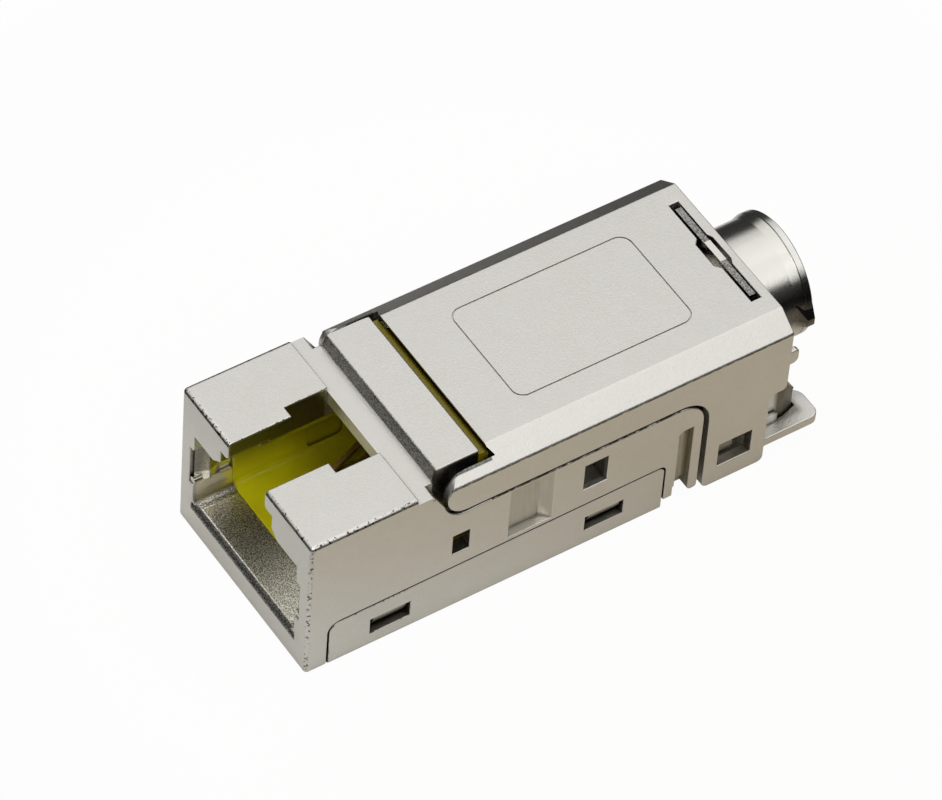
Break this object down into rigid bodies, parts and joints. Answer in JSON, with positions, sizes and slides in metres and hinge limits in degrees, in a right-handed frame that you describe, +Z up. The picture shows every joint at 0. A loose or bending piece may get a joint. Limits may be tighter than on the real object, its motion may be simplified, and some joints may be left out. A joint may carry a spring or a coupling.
{
  "type": "field termination ethernet jack",
  "caption": "Die-cast shielded modular jack with a hinged rear lid over a punch-down wire block and a round cable collar, for ending a network cable without a crimp.",
  "frame": {"origin": "centre of the bounding box on the plane that the jack rests on", "axes": "+Y from the plug mouth to the cable collar, +Z up through the lid, +X across"},
  "size_m": [0.0148, 0.039, 0.0125],
  "materials": {
    "cast_metal": "satin nickel plate over a fine-grained die casting",
    "cover_metal": "satin nickel plate over a fine-grained die casting",
    "lid_metal": "satin nickel plate over a fine-grained die casting",
    "collar_metal": "turned and nickel plated, smoother than the casting",
    "spring_sheet": "bright rolled spring sheet",
    "shield_sheet": "plain rolled sheet",
    "carrier_plastic": "translucent olive-yellow moulded plastic, half gloss",
    "block_plastic": "black moulded plastic",
    "manager_plastic": "off-white moulded plastic",
    "board": "green solder mask on glass laminate",
    "contact_gold": "gold plated phosphor bronze",
    "blade_bronze": "tin plated phosphor bronze"
  },
  "bodies": {
    "housing": {"main_housing": "cast_metal", "bottom_cover": "cover_metal", "contact_carrier": "carrier_plastic", "contact_spring_1": "contact_gold", "contact_spring_2": "contact_gold", "contact_spring_3": "contact_gold", "contact_spring_4": "contact_gold", "contact_spring_5": "contact_gold", "contact_spring_6": "contact_gold", "contact_spring_7": "contact_gold", "contact_spring_8": "contact_gold", "ground_spring_right": "spring_sheet", "ground_spring_left": "spring_sheet", "circuit_board": "board", "terminal_block": "block_plastic", "piercing_contact_1": "blade_bronze", "piercing_contact_2": "blade_bronze", "piercing_contact_3": "blade_bronze", "piercing_contact_4": "blade_bronze", "piercing_contact_5": "blade_bronze", "piercing_contact_6": "blade_bronze", "piercing_contact_7": "blade_bronze", "piercing_contact_8": "blade_bronze", "wire_manager": "manager_plastic", "shield_cross": "shield_sheet", "cable_collar": "collar_metal", "shield_ring": "spring_sheet"},
    "lid": {"hinged_lid": "lid_metal"}
  },
  "joints": [
    {"name": "lid_hinge", "type": "hinge", "parent": "housing", "child": "lid", "pos_m": [0, -0.00829, 0.01045], "axis": [1, 0, 0], "range_deg": [0, 95]}
  ]
}
